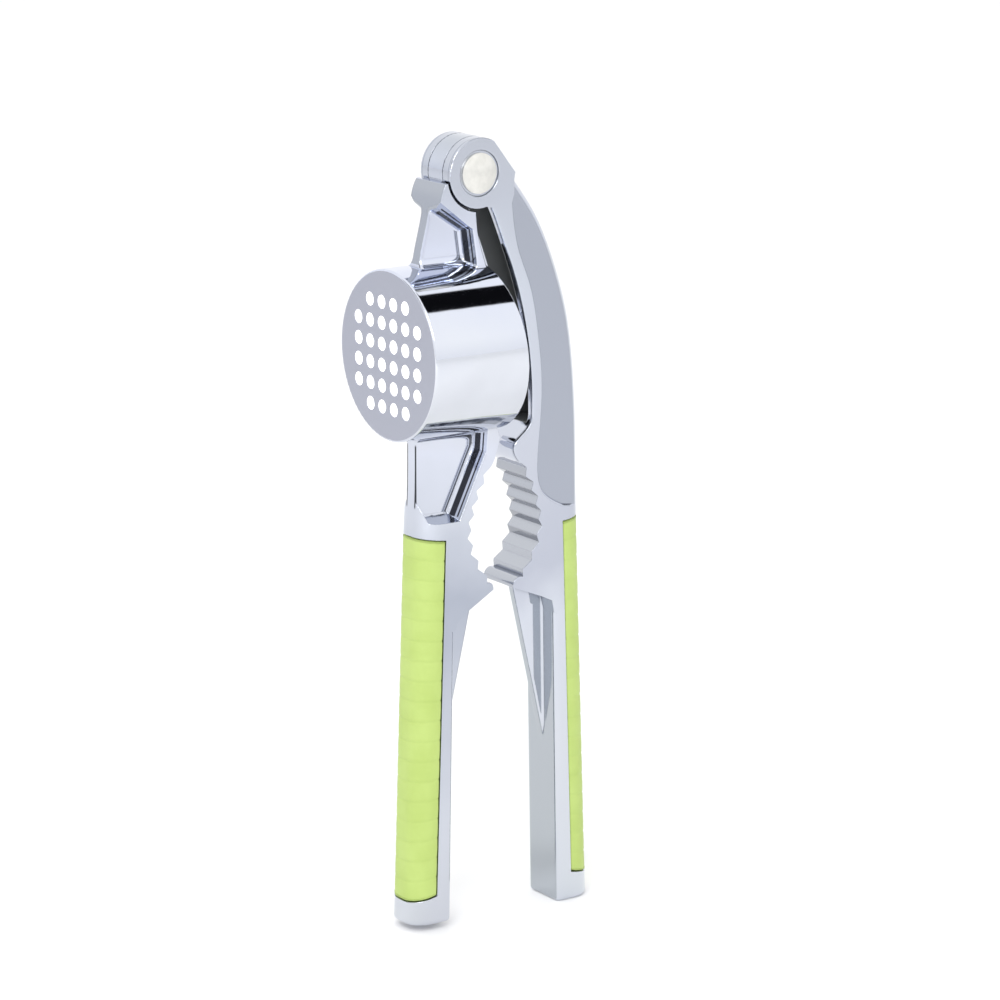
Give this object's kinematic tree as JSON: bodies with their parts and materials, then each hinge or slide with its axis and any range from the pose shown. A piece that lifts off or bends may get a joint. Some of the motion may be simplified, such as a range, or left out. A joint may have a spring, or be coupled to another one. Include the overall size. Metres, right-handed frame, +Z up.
{
  "type": "garlic press",
  "caption": "Hand-held garlic press with a sieve cup, a pivoting plunger and toothed nutcracker jaws between two handles with ribbed plastic inserts.",
  "frame": {"origin": "middle of the bounding box's underside, level with the plunger handle's end", "axes": "+Z up along the handles to the hinge, +X from the cup handle to the plunger handle, Y along the hinge"},
  "size_m": [0.0546, 0.04, 0.1882],
  "materials": {
    "casting": "bright chrome plate on a smooth die casting, satin on the sieve's face",
    "insert": "satin moulded plastic with shallow rings across it",
    "rivet": "satin nickel plate",
    "plunger": "bright chrome plate",
    "pin": "ground steel"
  },
  "bodies": {
    "lower": {"lower_handle": "casting", "lower_grip": "insert"},
    "upper": {"upper_handle": "casting", "upper_grip": "insert", "rivet_barrel": "rivet", "rivet_post": "rivet"},
    "plunger": {"plunger": "plunger", "plunger_pin": "pin"}
  },
  "joints": [
    {"name": "main_hinge", "type": "hinge", "parent": "lower", "child": "upper", "pos_m": [-0.006, 0, 0.18], "axis": [0, -1, 0], "range_deg": [-3, 80]},
    {"name": "plunger_pivot", "type": "hinge", "parent": "upper", "child": "plunger", "pos_m": [0.0106, 0, 0.139], "axis": [0, -1, 0], "range_deg": [-17, 1]}
  ],
  "couplings": [
    {"joint": "plunger_pivot", "follows": "main_hinge", "ratio": -0.2}
  ]
}
